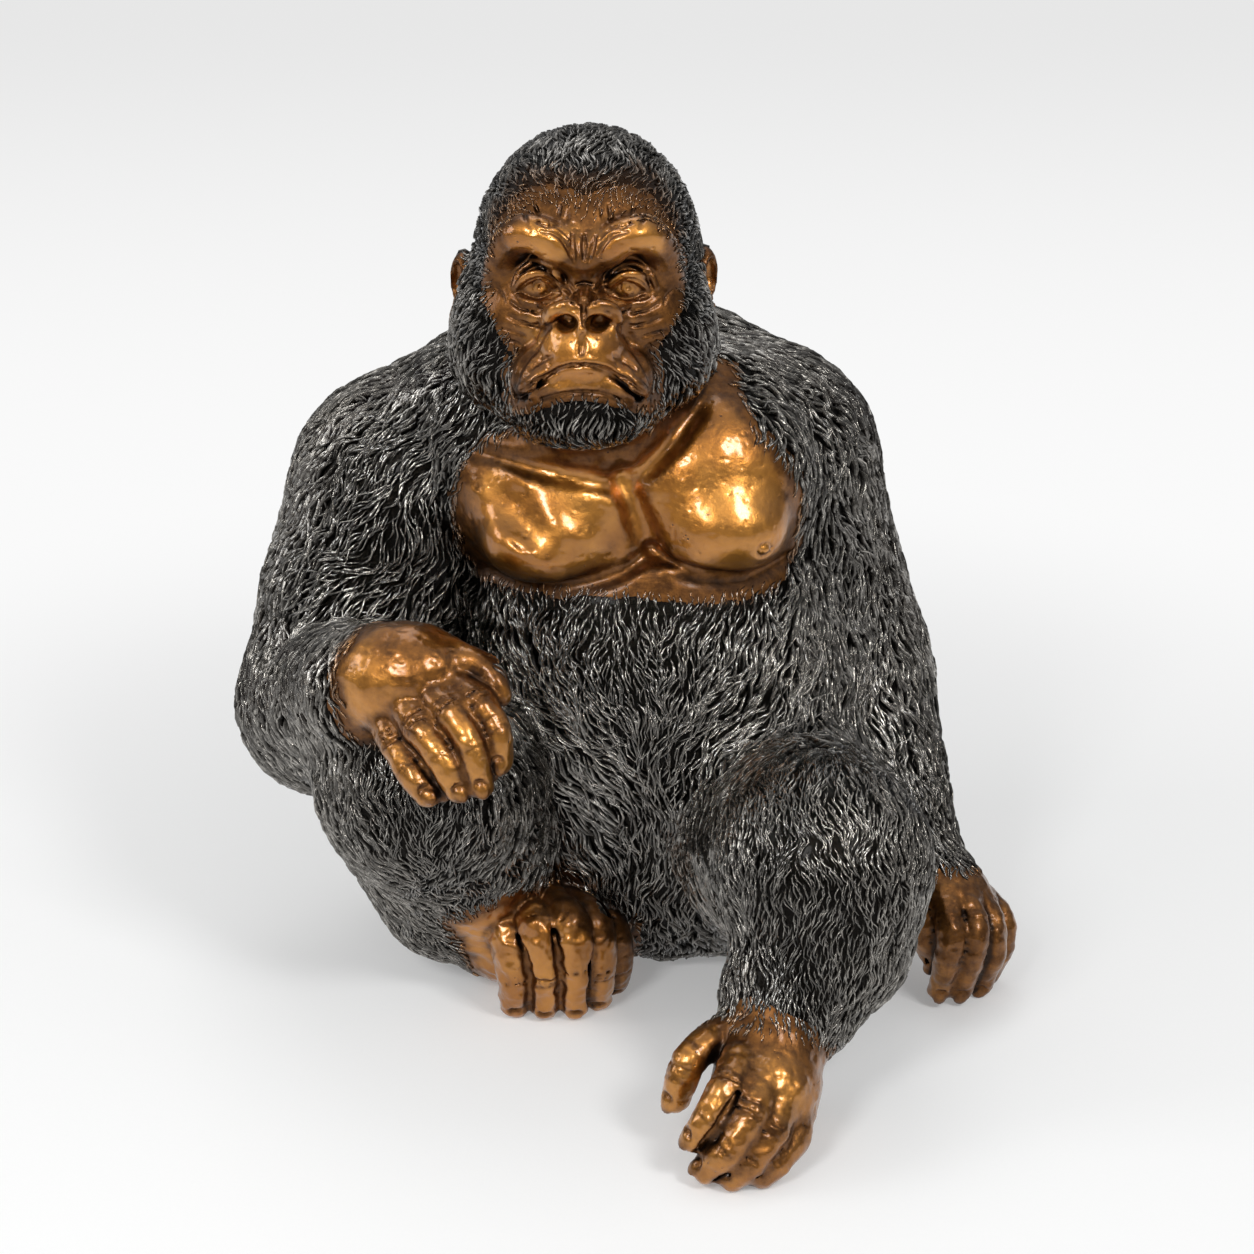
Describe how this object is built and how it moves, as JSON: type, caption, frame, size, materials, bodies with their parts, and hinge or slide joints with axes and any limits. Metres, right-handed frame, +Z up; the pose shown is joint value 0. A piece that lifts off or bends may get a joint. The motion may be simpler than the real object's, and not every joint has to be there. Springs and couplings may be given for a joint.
{
  "type": "seated gorilla figurine",
  "caption": "Cast bronze figurine of a seated gorilla, one hand on its raised knee and the other on the ground, with tooled dark fur and a polished face and chest.",
  "frame": {"origin": "centre of the figure's bounding box, on the ground that it sits on", "axes": "+Z up, the figure faces -Y, and its own left side is +X"},
  "size_m": [0.3286, 0.3266, 0.3591],
  "materials": {
    "bronze": "waxed brown and black patina, worn to golden bronze on the bare skin"
  },
  "bodies": {
    "root": {"gorilla": "bronze"}
  },
  "joints": []
}
